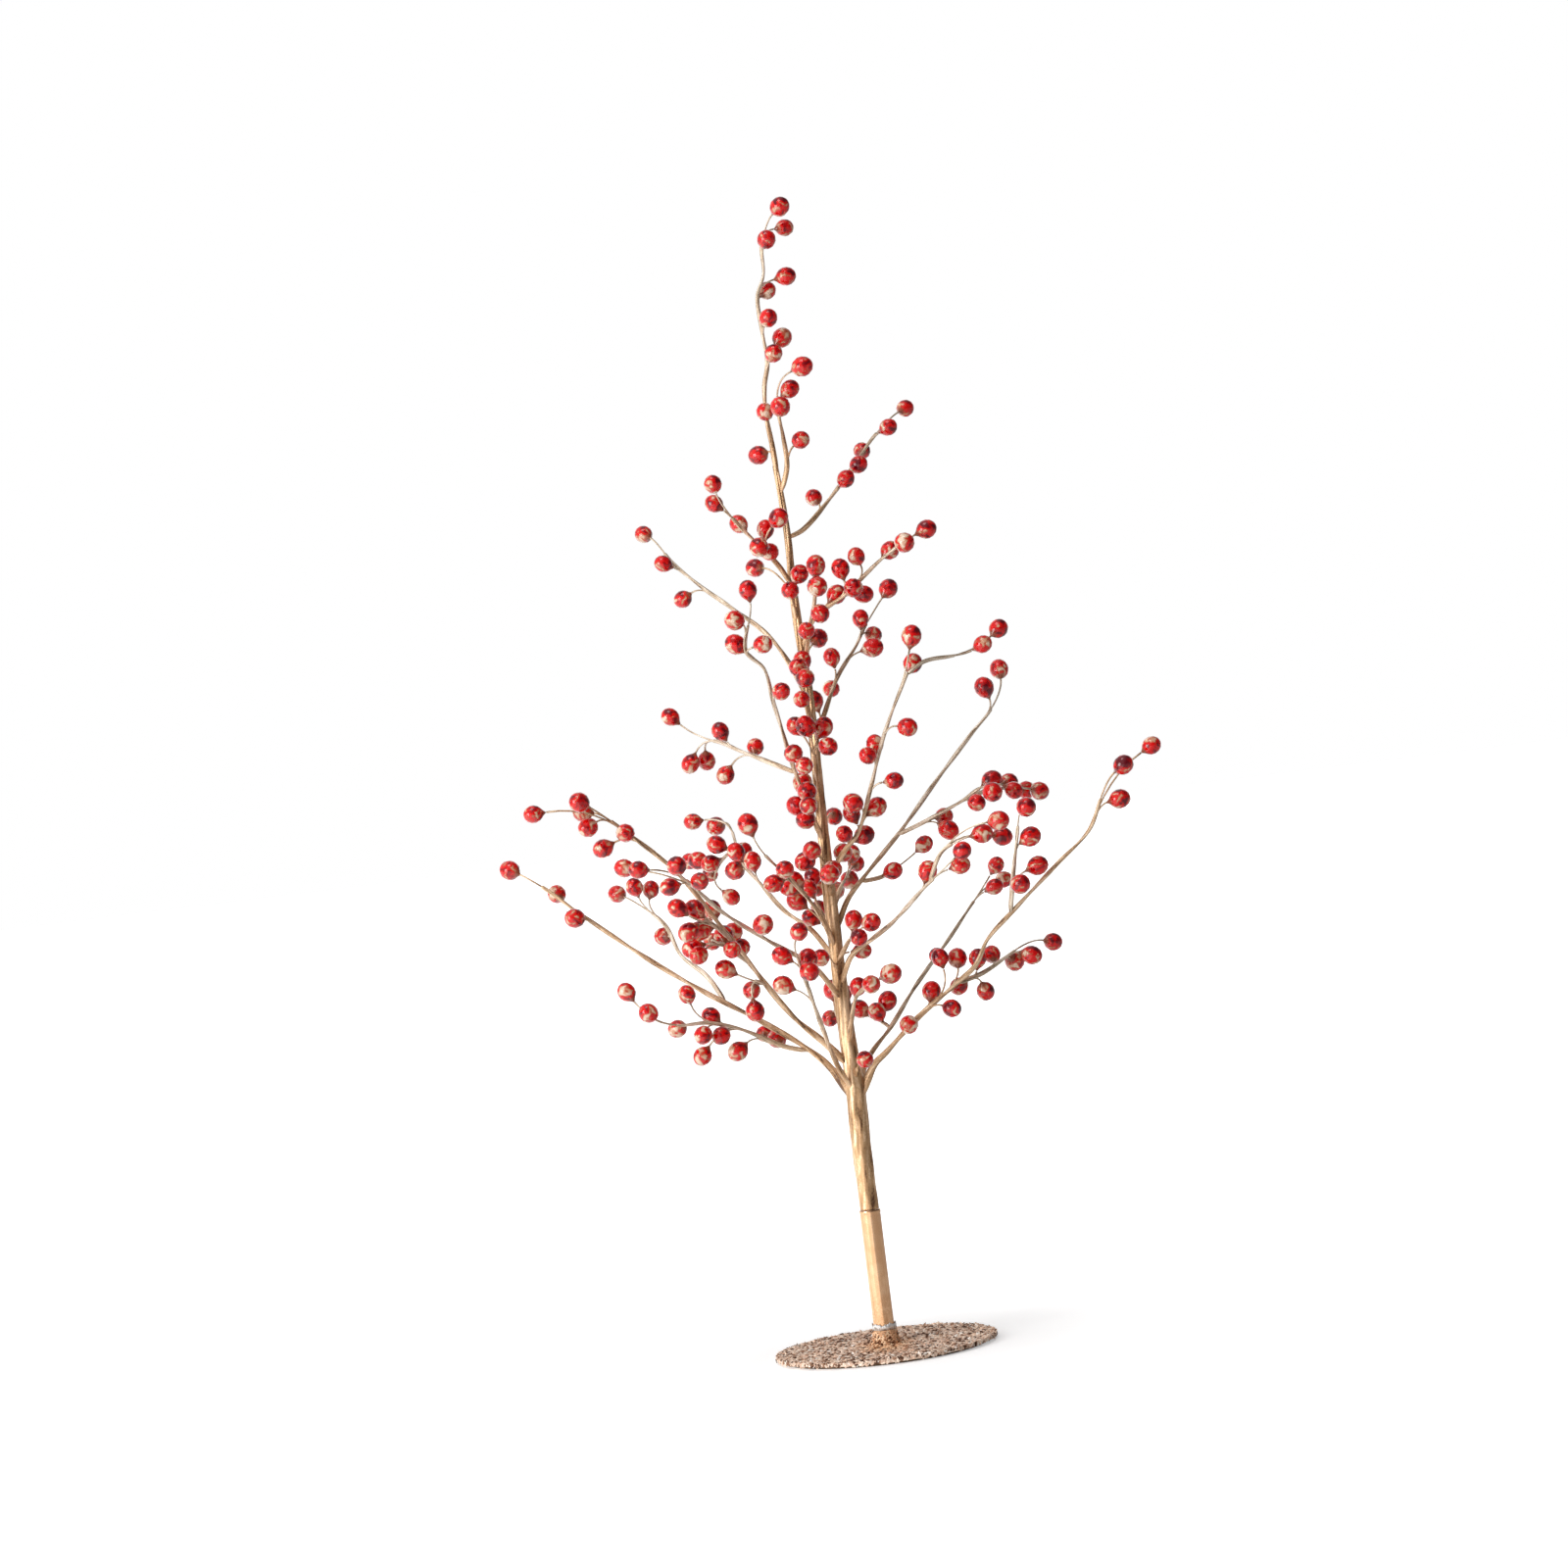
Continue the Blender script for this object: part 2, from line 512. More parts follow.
def place(x, y, toward=0.0):
    """The point of the tree behind a pixel: the pixel is turned upright, scaled to millimetres and moved
    along the line of sight by how far it lies toward the viewer."""
    right = np.asarray(x, float) - FOOT_PIXEL[0]
    above = FOOT_PIXEL[1] - np.asarray(y, float)
    across = (right * math.cos(PICTURE_TURN) + above * math.sin(PICTURE_TURN)) * MM_PER_PIXEL
    up = (above * math.cos(PICTURE_TURN) - right * math.sin(PICTURE_TURN)) * MM_PER_PIXEL
    nearer = (VIEW_DISTANCE - np.asarray(toward, float)) / VIEW_DISTANCE
    return np.stack([across * nearer, -toward + 0 * across, VIEW_HEIGHT + (up - VIEW_HEIGHT) * nearer], -1)


def lengths_along(points):
    """Length along a course to each of its points."""
    return np.concatenate([[0], np.cumsum(np.linalg.norm(np.diff(points, axis=0), axis=1))])


def curve(points, lengths, at):
    """Point and direction on the smooth course through the points. Between two points it is the cubic whose
    slopes at both are the chord between their neighbours over the length between those."""
    low = np.maximum(np.arange(len(points)) - 1, 0)
    high = np.minimum(np.arange(len(points)) + 1, len(points) - 1)
    slopes = (points[high] - points[low]) / (lengths[high] - lengths[low])[:, None]
    at = np.atleast_1d(at)
    k = np.clip(np.searchsorted(lengths, at, side="right") - 1, 0, len(points) - 2)
    run = (lengths[k + 1] - lengths[k])[:, None]
    t = (at[:, None] - lengths[k][:, None]) / run
    a, b, m, n = points[k], points[k + 1], slopes[k] * run, slopes[k + 1] * run
    where = (2 * t**3 - 3 * t**2 + 1) * a + (t**3 - 2 * t**2 + t) * m + (3 * t**2 - 2 * t**3) * b \
        + (t**3 - t**2) * n
    heading = ((6 * t**2 - 6 * t) * a + (3 * t**2 - 4 * t + 1) * m + (6 * t - 6 * t**2) * b
               + (3 * t**2 - 2 * t) * n)
    return where, heading / np.linalg.norm(heading, axis=1)[:, None]


def rings_along(where, heading, radius):
    """Rings of points round a course: radius holds one value for each ring and each angle. The ring's first
    axis is the viewing axis made square to the course, so the rings don't twist."""
    across = np.array([0.0, 1.0, 0.0]) - heading * heading[:, 1:2]
    across /= np.linalg.norm(across, axis=1)[:, None]
    beside = np.cross(heading, across)
    angle = np.arange(radius.shape[1]) / radius.shape[1] * 2 * np.pi
    ring = across[:, None] * np.cos(angle)[:, None] + beside[:, None] * np.sin(angle)[:, None]
    return where[:, None] + ring * radius[:, :, None]


def lap(turns):
    """Height of lapped tape: it rises along each turn and drops at the edge, a saw with a soft tooth."""
    phase = turns % 1
    return phase - np.clip((phase - (1 - TAPE_EDGE_SHARE)) / TAPE_EDGE_SHARE, 0, 1)


def gilt_group():
    """Sprayed wire: streaks from dark through tan to pale run along it. Their place comes from the surface
    itself, as the cosine and sine of the angle round the strands and the length along them. Where the wire is
    bare, the tones are greyer."""
    group = bpy.data.node_groups.new("gilt wire", "ShaderNodeTree")
    group.interface.new_socket("Stretch", in_out="INPUT", socket_type="NodeSocketVector")
    group.interface.new_socket("Color", in_out="OUTPUT", socket_type="NodeSocketColor")
    for name in ("Roughness", "Height"):
        group.interface.new_socket(name, in_out="OUTPUT", socket_type="NodeSocketFloat")
    given = group.nodes.new("NodeGroupInput")
    bare = node(group, "ShaderNodeAttribute", attribute_name="bare").outputs["Fac"]
    dark, tan, pale = (mixed(group, bare, *tones) for tones in zip(COATED_TONES, BARE_TONES))
    laid = node(group, "ShaderNodeAttribute", attribute_name="laid").outputs["Vector"]
    drawn = node(group, "ShaderNodeMapping", {"Vector": laid, "Scale": given.outputs["Stretch"]})
    streaks = noise(group, 1, drawn.outputs["Vector"], Detail=3, Roughness=0.6)
    grain = noise(group, GILT_GRAIN_SCALE, Detail=4, Roughness=0.6)
    both = node(group, "ShaderNodeMix", {0: GILT_GRAIN_SHARE, 2: streaks, 3: grain}).outputs[0]
    darker = mixed(group, ramp(group, both, GILT_DARK_STOPS), dark, tan)
    feed(group, group.nodes.new("NodeGroupOutput"), Height=both,
         Color=mixed(group, ramp(group, both, GILT_PALE_STOPS), darker, pale),
         Roughness=mapped(group, grain, result=GILT_ROUGHNESS))
    return group


def gilt_material(name, stretch, metallic):
    """Wire with a sprayed gold coat, and how far its streaks are drawn out."""
    material, tree, surface = new_material(name, Metallic=metallic)
    coat = node(tree, "ShaderNodeGroup", node_tree=gilt)
    coat.inputs["Stretch"].default_value = stretch
    feed(tree, surface, Base_Color=coat.outputs["Color"], Roughness=coat.outputs["Roughness"],
         Normal=bumps(tree, coat.outputs["Height"], GILT_STRENGTH, GILT_DEPTH))
    return material


gilt = gilt_group()
trunk_gold = gilt_material("trunk gold", TRUNK_STRETCH, TRUNK_METALLIC)
pixels = np.array(TRUNK_PIXELS, float)
trunk_points = place(pixels[:, 0], pixels[:, 1])
# The trunk's foot stands right on the pole's axis.
trunk_points[0, 0] = 0
trunk_radii = pixels[:, 2] * MM_PER_PIXEL
trunk_lengths = lengths_along(trunk_points)
along = np.arange(0, trunk_lengths[-1], TRUNK_ROW)
angle = np.arange(TRUNK_SIDES) / TRUNK_SIDES * 2 * np.pi
where, heading = curve(trunk_points, trunk_lengths, along)
plain = np.interp(along, trunk_lengths, trunk_radii)[:, None]
up = along[:, None] / along[-1]
strand = angle - along[:, None] / STRAND_LAY * 2 * np.pi
least, most = STRAND_DEPTH_SHARES
depth = least + (most - least) * up
sway = STRAND_SWAY * np.sin(STRAND_SWAY_RATE * along[:, None])
bundle = depth * (np.abs(np.cos(TRUNK_STRANDS / 2 * strand + sway)) - 2 / np.pi)
lumps = LUMP_SHARE * np.sin(LUMP_RATE * along[:, None] + 2 * np.sin(2 * angle))
tape = TAPE_STEP * (lap(along[:, None] / TAPE_PITCH - angle / (2 * np.pi)) - 0.5) * np.sin(np.pi * up) ** 2
radius = plain * (1 + bundle + lumps) + tape
laid = np.stack(np.broadcast_arrays(np.cos(strand), np.sin(strand), along[:, None]), -1).reshape(-1, 3)
ends = np.array([[0, 0, along[0]], [0, 0, along[-1]]])
new_piece("taped_trunk", skin(rings_along(where, heading, radius)), trunk_gold, "crown",
          ["crown_trunk"], {"laid": np.vstack([laid, ends]), "bare": np.zeros(len(laid) + 2)})

# Branches, twigs and berries
# Each spray is a bundle of thin wires, one for each berry, twisted together and dipped in gold. Toward its
# tip the wires leave the bundle one by one, and each ends in a moulded clear red berry with gold dust in it.
SPRAYS = [
    {"name": "leader_tip_sprig", "from": "trunk", "toward_share": 0.05,
     "course_pixels": [(793, 485), (788, 455), (782, 425), (780, 395), (783, 370), (777, 335), (773, 303),
                       (779, 280), (777, 250), (784, 226), (789, 217)],
     "berry_pixels": [(795.5, 211), (800.5, 232.5), (782, 244.5), (802, 282), (782.6, 296.6), (784, 324.6),
                      (798, 344.6), (789.3, 360.6), (780.6, 420.3), (773.7, 464.5)]},
    {"name": "leader_side_sprig", "from": "trunk", "toward_share": 0.12,
     "course_pixels": [(795, 500), (803, 476), (799, 445), (794, 420), (793, 395), (797, 378)],
     "berry_pixels": [(818.6, 374), (806, 397), (796.2, 415), (817, 449)]},
    {"name": "top_right_sprig", "from": "trunk", "toward_share": -0.3,
     "course_pixels": [(803, 543), (820, 540), (842, 515), (870, 477), (889, 449), (911, 423)],
     "berry_pixels": [(830.4, 507.8), (863, 488.7), (876, 474), (879.4, 460), (906.3, 436), (923.6, 416.8)]},
    {"name": "top_left_sprig", "from": "trunk", "toward_share": 0.25,
     "course_pixels": [(808, 592), (795, 578), (778, 560), (752, 534), (731, 508)],
     "berry_pixels": [(785.8, 563.3), (774.5, 558.5), (781, 540), (794.3, 528.6), (753.7, 534.7),
                      (728.6, 514), (727.4, 494)]},
    {"name": "upper_stub_left", "from": "trunk", "toward_share": -0.08,
     "course_pixels": [(809, 600), (795, 588), (784, 582)],
     "berry_pixels": [(770.4, 579.5)]},
    {"name": "upper_stub_front", "from": "trunk", "toward_share": 0.06,
     "course_pixels": [(812, 628), (809, 615), (809, 604)],
     "berry_pixels": [(806.2, 602.5), (815.7, 585.8)]},
    {"name": "upper_right_branch", "from": "trunk", "bends": True, "toward_share": 0.25,
     "course_pixels": [(817, 656), (830, 632), (862, 607), (900, 570), (933, 545)],
     "berry_pixels": [(853.4, 606.5), (870.8, 600), (881.3, 606.3), (857.5, 580), (873.7, 567.7),
                      (908, 561.5), (922.7, 553.7), (945.3, 540)]},
    {"name": "upper_centre_sprig", "from": "trunk", "toward_share": 0.3,
     "course_pixels": [(820, 675), (826, 640), (831, 615), (832, 590)],
     "berry_pixels": [(832.4, 577), (834, 598.5), (836.8, 626), (822.8, 643.5), (834.8, 651.2)]},
    {"name": "left_upper_branch", "from": "trunk", "bends": True, "toward_share": -0.45,
     "course_pixels": [(823, 708), (803, 673), (780, 645), (743, 618), (716, 599), (684, 572), (667, 547)],
     "berry_pixels": [(696.7, 611.5), (676.7, 575.3), (656.7, 545.3)]},
    {"name": "left_twig_branch", "from": "trunk", "bends": True, "toward_share": 0.5,
     "course_pixels": [(839, 852), (822, 815), (808, 778), (799, 748), (789, 716), (780, 683), (761, 664),
                       (766, 625), (766, 616)],
     "berry_pixels": [(763, 602), (749.5, 633), (750.5, 657.5), (778.5, 657.5), (797, 705.5), (809.6, 769),
                      (820.8, 781.3), (819, 799), (823.5, 807.5), (813, 822.4), (825, 822), (822, 836.3)]},
    {"name": "left_twig_sprig", "from": "left_twig_branch", "toward_share": -0.3,
     "course_pixels": [(810, 786), (788, 779), (757, 767), (727, 756), (703, 765)],
     "berry_pixels": [(770.7, 762), (740.3, 791), (735, 746), (721, 776.5), (704.5, 779.6), (684, 731.6)]},
    {"name": "upper_trunk_cluster", "from": "trunk", "toward_share": 0.1,
     "course_pixels": [(827, 738), (822, 715), (820, 700), (817, 688)],
     "berry_pixels": [(818.6, 674), (814.4, 681), (821.6, 692), (818, 713.5)]},
    {"name": "right_upper_twig", "from": "trunk", "toward_share": -0.4,
     "course_pixels": [(830, 752), (842, 726), (855, 690), (873, 660), (885, 635), (900, 621)],
     "berry_pixels": [(848.6, 670.4), (848, 702.8), (830, 714.8), (878, 631), (891, 647.5), (890.7, 661),
                      (906.3, 600.5)]},
    {"name": "mid_trunk_cluster", "from": "trunk", "toward_share": 0.16,
     "course_pixels": [(834, 792), (831, 772), (830, 755)],
     "berry_pixels": [(822, 741), (812, 741), (840, 742), (844.8, 761.6)]},
    {"name": "right_upper_branch", "from": "trunk", "bends": True, "toward_share": 0.4,
     "course_pixels": [(843, 885), (862, 868), (876, 849), (888, 806), (900, 757), (911, 724), (926, 686)],
     "berry_pixels": [(931.3, 676.7), (930, 648.7), (926, 742), (892.7, 759), (885.5, 771), (912.4, 796.5),
                      (894.5, 823.3), (870.5, 819.5), (869, 830), (882, 852), (861.5, 851), (860, 870)]},
    {"name": "right_upper_side_sprig", "from": "right_upper_branch", "toward_share": -0.15,
     "course_pixels": [(927, 684), (943, 675), (968, 670), (995, 666)],
     "berry_pixels": [(1002.7, 657.3), (1018.7, 641.3)]},
    {"name": "right_high_branch", "from": "trunk", "bends": True, "toward_share": -0.3,
     "course_pixels": [(850, 944), (864, 920), (880, 897), (919, 848), (953, 800), (991, 749), (1012, 722),
                       (1019, 697)],
     "berry_pixels": [(1019.3, 682.7), (1004, 701.3)]},
    {"name": "right_high_outer_sprig", "from": "right_high_branch", "toward_share": 0.12,
     "course_pixels": [(919, 850), (952, 834), (982, 817), (1001, 804), (1024, 802)],
     "berry_pixels": [(963.4, 832.8), (967.8, 846.7), (996.4, 819), (1012, 796), (1012.5, 808),
                      (1029.4, 798), (1034.5, 806.4), (1047, 806), (1060.5, 807)]},
    {"name": "right_high_inner_sprig", "from": "right_high_branch", "toward_share": -0.15,
     "course_pixels": [(880, 897), (901, 894), (930, 874)],
     "berry_pixels": [(911.3, 888.5), (942.9, 861.4)]},
    {"name": "right_front_branch", "from": "trunk", "toward_share": 0.6,
     "course_pixels": [(857, 994), (868, 977), (889, 959), (911, 941), (942, 907), (966, 884)],
     "berry_pixels": [(946.5, 888.5), (981.7, 868), (980.3, 882.7)]},
    {"name": "right_front_sprig", "from": "right_front_branch", "toward_share": 0.12,
     "course_pixels": [(949, 900), (962, 868), (992, 853)],
     "berry_pixels": [(1002.3, 850.4), (1019, 837.2), (1022.8, 853.3)]},
    {"name": "right_low_branch", "from": "trunk", "bends": True, "thick": True, "toward_share": 0.12,
     "course_pixels": [(873, 1114), (890, 1090), (905, 1073), (937, 1038), (980, 1000), (996, 984),
                       (1008, 958), (1034, 929), (1079, 881), (1111, 847), (1126, 807), (1136, 791)],
     "berry_pixels": [(1146, 780.3), (1142.5, 815), (1174.7, 760.5), (971.2, 1028.8), (950.4, 1011.2),
                      (927.3, 1045.5), (976.8, 977.6), (959, 977)]},
    {"name": "right_low_upright_sprig", "from": "right_low_branch", "toward_share": 0.12,
     "course_pixels": [(1034, 929), (1034, 890), (1038, 850), (1040, 818)],
     "berry_pixels": [(1041, 902), (1058.8, 883), (1051.4, 853.5), (1047, 823.5)]},
    {"name": "right_low_side_sprig", "from": "right_low_branch", "toward_share": -0.15,
     "course_pixels": [(980, 1000), (1004, 992), (1041, 966), (1058, 958)],
     "berry_pixels": [(1074.4, 960.8), (1052.8, 974.4), (1035.2, 980.8), (1012, 973.6), (997.6, 977.6),
                      (1005.6, 1011.2), (978.4, 1006.4)]},
    {"name": "right_back_branch", "from": "trunk", "toward_share": -0.65,
     "course_pixels": [(871, 1098), (886, 1080), (909, 1048), (935, 1005), (969, 957), (990, 925),
                       (1006, 901)],
     "berry_pixels": [(1016.2, 882.7), (1024.3, 897.3), (1014.7, 904.7), (956, 975.2)]},
    {"name": "right_back_sprig", "from": "right_back_branch", "toward_share": -0.1,
     "course_pixels": [(909, 1048), (899, 1043), (883, 1044)],
     "berry_pixels": [(877.2, 1029.5), (895, 1032.5), (905.5, 1021.2)]},
    {"name": "low_trunk_stub", "from": "trunk", "toward_share": 0.08,
     "course_pixels": [(869, 1088), (876, 1088), (880, 1087)],
     "berry_pixels": [(882.6, 1081)]},
    {"name": "low_right_twig", "from": "trunk", "toward_share": 0.35,
     "course_pixels": [(864, 1052), (872, 1022), (880, 1010), (895, 1000)],
     "berry_pixels": [(875.5, 1006.6), (889, 1004.5), (909, 993.6)]},
    {"name": "mid_right_twig", "from": "trunk", "toward_share": 0.25,
     "course_pixels": [(854, 970), (865, 962), (871, 952)],
     "berry_pixels": [(871, 938.5), (889, 941), (876.5, 956.5), (880, 970)]},
    {"name": "left_low_branch", "from": "trunk", "bends": True, "thick": True, "toward_share": -0.1,
     "course_pixels": [(872, 1114), (852, 1095), (828, 1073), (780, 1044), (720, 1013), (660, 978),
                       (588, 930), (556, 907), (530, 893)],
     "berry_pixels": [(586.4, 937.2), (568, 912.4), (520, 888.4)]},
    {"name": "left_low_under_sprig", "from": "left_low_branch", "toward_share": 0.14,
     "course_pixels": [(823, 1070), (801, 1068), (755, 1050), (722, 1044), (690, 1046), (668, 1035)],
     "berry_pixels": [(793, 1060), (780, 1055), (753, 1073), (736, 1057), (725.5, 1037), (717.6, 1056.4),
                      (716.8, 1078), (691.2, 1050), (661.6, 1034), (639.2, 1012.4), (700.8, 1014.8)]},
    {"name": "left_low_upper_sprig", "from": "left_low_branch", "toward_share": -0.22,
     "course_pixels": [(737, 1022), (721, 996), (695, 975), (680, 946), (665, 932), (641, 919)],
     "berry_pixels": [(676.8, 955.6), (629.6, 912.4), (647.2, 905.2), (664, 907.6)]},
    {"name": "left_mid_branch", "from": "trunk", "bends": True, "thick": True, "toward_share": 0.42,
     "course_pixels": [(867, 1076), (846, 1068), (808, 1036), (764, 982), (730, 938), (690, 890),
                       (640, 850), (600, 822)],
     "berry_pixels": [(638, 850), (591, 818.8), (594.4, 829), (600, 844.4), (615.2, 866), (544, 831),
                      (726.5, 928)]},
    {"name": "left_mid_upper_sprig", "from": "left_mid_branch", "toward_share": 0.2,
     "course_pixels": [(743, 955), (730, 945), (715, 940), (700, 935)],
     "berry_pixels": [(691.2, 926.8), (708.8, 927.8), (719.2, 934.6), (702.4, 951.5), (714, 950)]},
    {"name": "left_mid_lower_sprig", "from": "left_mid_branch", "toward_share": 0.06,
     "course_pixels": [(764, 982), (750, 972), (735, 965), (720, 965)],
     "berry_pixels": [(727, 961), (706.8, 968), (713, 975), (738.4, 954.4), (748, 951), (756.4, 966.4),
                      (747, 969)]},
    {"name": "left_mid_under_twig", "from": "left_mid_branch", "toward_share": 0.12,
     "course_pixels": [(777, 1000), (767, 1000), (752, 993)],
     "berry_pixels": [(740.2, 989.2), (766.9, 1010.6), (770.6, 1032)]},
    {"name": "left_high_branch", "from": "trunk", "bends": True, "toward_share": 0.75,
     "course_pixels": [(857, 1008), (832, 988), (784, 960), (736, 930), (700, 898), (685, 888)],
     "berry_pixels": [(690.4, 883.6), (683.2, 905.2), (651.2, 887.6), (636.8, 886), (778.6, 943.6),
                      (713.7, 899.4)]},
    {"name": "left_inner_branch", "from": "trunk", "toward_share": 0.4,
     "course_pixels": [(851, 957), (837, 934), (808, 899), (782, 874), (768, 856)],
     "berry_pixels": [(763, 841), (800.8, 887.2), (789.4, 901.6), (804.5, 905), (810.4, 899.2),
                      (813, 919.6)]},
    {"name": "left_back_branch", "from": "trunk", "toward_share": -0.6,
     "course_pixels": [(853, 970), (829, 950), (800, 929), (777, 903), (758, 880), (746, 845), (732, 805),
                       (723, 788)],
     "berry_pixels": [(749.8, 888.4), (767.8, 878.5), (758.8, 868), (751, 869.3), (706.8, 838.5),
                      (730.4, 843), (731, 862)]},
    {"name": "left_back_sprig", "from": "left_back_branch", "toward_share": -0.12,
     "course_pixels": [(752, 862), (735, 880), (729, 897), (735, 920)],
     "berry_pixels": [(712, 878.3), (724.6, 881.2), (703.6, 879), (724.6, 892), (746.2, 915.4)]},
    {"name": "low_front_twig", "from": "trunk", "toward_share": 0.55,
     "course_pixels": [(871, 1100), (856, 1090), (840, 1051), (820, 995), (808, 962)],
     "berry_pixels": [(797.7, 975.5), (824, 979), (825.8, 991.3), (799.2, 1005.5), (815.2, 950.8)]},
    {"name": "low_back_twig", "from": "trunk", "toward_share": -0.3,
     "course_pixels": [(863, 1045), (856, 1038), (852, 1030), (853, 1024)],
     "berry_pixels": [(849.8, 1010), (847, 1039.2), (860, 1014)]},
    {"name": "mid_left_stub", "from": "trunk", "toward_share": 0.12,
     "course_pixels": [(853, 978), (848, 979), (844, 978)],
     "berry_pixels": [(837.6, 977.4)]},
    {"name": "mid_left_twig", "from": "trunk", "toward_share": -0.25,
     "course_pixels": [(848, 955), (840, 935), (834, 922), (831, 910)],
     "berry_pixels": [(829, 894.4), (824.8, 906.4), (833.5, 906.4), (827.2, 936.4), (835.6, 926.8)]},
    {"name": "mid_right_stub", "from": "trunk", "toward_share": 0.1,
     "course_pixels": [(845, 906), (848, 902), (852, 898)],
     "berry_pixels": [(850, 887.2), (846.4, 892)]},
    {"name": "mid_right_back_twig", "from": "trunk", "toward_share": -0.3,
     "course_pixels": [(847, 920), (857, 908), (866, 890)],
     "berry_pixels": [(873.5, 881), (866.8, 898), (852.4, 908.8), (868.8, 871)]},
    {"name": "upper_left_stub", "from": "trunk", "toward_share": 0.12,
     "course_pixels": [(842, 874), (836, 872), (832, 870)],
     "berry_pixels": [(828.5, 867.7), (821.5, 879)]},
    {"name": "upper_back_stub", "from": "trunk", "toward_share": -0.1,
     "course_pixels": [(838, 838), (843, 838), (846, 836)],
     "berry_pixels": [(850.7, 833)]},
]
BEND_GAP = 0.8
SEAT_GAP = 0.3
BEND_RANGE = math.radians(8)
BRANCH_RADII = (1.8, 1.1)
TWIG_RADII = (1.2, 0.9)
NECK_RADIUS = 1.0
BERRY_RADIUS = 5.5
DEPTH_SWAY = 7
DEPTH_STEP = 2.5
DEPTH_TRIES = 34
GOLDEN_ANGLE = 2.4
ROOT_SET_BACK_SHARE = 0.6
FOOT_SHARE = 0.45
FOOT_RADIUS = 0.65
CLEAR_STEP = 0.5
ROOT_DROP = 1.8


def nearest_on(points, target):
    """Run, share of that run and distance of the place on a course that is nearest to a point."""
    runs = np.diff(points, axis=0)
    share = np.clip(((target - points[:-1]) * runs).sum(1) / (runs * runs).sum(1), 0, 1)
    distance = np.linalg.norm(points[:-1] + runs * share[:, None] - target, axis=1)
    k = int(np.argmin(distance))
    return k, share[k], distance[k]


def place_along(points, lengths, length):
    """The point at a length along the straight runs of a course."""
    k = min(int(np.searchsorted(lengths[1:], length)), len(points) - 2)
    run = lengths[k + 1] - lengths[k]
    return points[k] + (points[k + 1] - points[k]) * (length - lengths[k]) / run


def clear_length(points, lengths, carrier, spare):
    """The length along a wire at which it has left what carries it."""
    for length in np.arange(0, lengths[-1], CLEAR_STEP):
        k, _, distance = nearest_on(carrier["points"], place_along(points, lengths, length))
        if distance > max(carrier["radii"][k], carrier["radii"][k + 1]) + spare:
            return length
    return lengths[-1]


def run_gap(start, end, starts, ends):
    """Least distance between one straight run and each of many, by clamping the two foot points."""
    a = end - start
    b = ends - starts
    between = start - starts
    aa = a @ a
    bb = (b * b).sum(1)
    ab = b @ a
    aw = between @ a
    bw = (b * between).sum(1)
    spread = aa * bb - ab * ab
    s = np.where(spread > 0, np.clip((ab * bw - bb * aw) / np.where(spread > 0, spread, 1), 0, 1), 0)
    t = np.where(bb > 0, np.clip((ab * s + bw) / np.where(bb > 0, bb, 1), 0, 1), 0)
    if aa > 0:
        s = np.clip((ab * t - aw) / aa, 0, 1)
    return np.linalg.norm(between + s[:, None] * a - t[:, None] * b, axis=1)


class Runs:
    """Straight runs already in place: the stretches of wires, the stalks and the berries."""

    def __init__(self):
        self.starts = np.zeros((0, 3))
        self.ends = np.zeros((0, 3))
        self.radii = np.zeros(0)
        self.sweeps = np.zeros(0)
        self.owners = []

    def add(self, starts, ends, radii, owner, kind):
        """Takes in runs with their thickness, whose they are and how far bending moves them."""
        starts, ends = np.atleast_2d(starts), np.atleast_2d(ends)
        self.starts = np.vstack([self.starts, starts])
        self.ends = np.vstack([self.ends, ends])
        self.radii = np.concatenate([self.radii, np.atleast_1d(radii)])
        swept = [sweep(start, end, owner["pivot"]) for start, end in zip(starts, ends)]
        self.sweeps = np.concatenate([self.sweeps, swept])
        self.owners += [(owner["name"], owner["body"], kind)] * len(starts)

    def room(self, start, end, radius, owner):
        """Room that a new run has beside each one in place. A branch bends in the picture's plane, so runs on
        different branches may also be kept apart by their depths alone."""
        need = radius + self.radii + SEAT_GAP
        gap = run_gap(start, end, self.starts, self.ends) - need
        near = np.maximum(min(start[1], end[1]), np.minimum(self.starts[:, 1], self.ends[:, 1]))
        far = np.minimum(max(start[1], end[1]), np.maximum(self.starts[:, 1], self.ends[:, 1]))
        same = np.array([body == owner["body"] for _, body, _ in self.owners])
        apart = np.maximum(near - far - need, gap - sweep(start, end, owner["pivot"]) - self.sweeps)
        return np.where(same, gap, apart)


def sweep(start, end, pivot):
    """How far bending its branch by hand moves a run."""
    if pivot is None:
        return 0.0
    return math.sin(BEND_RANGE) * max(math.hypot(p[0] - pivot[0], p[2] - pivot[2]) for p in (start, end))


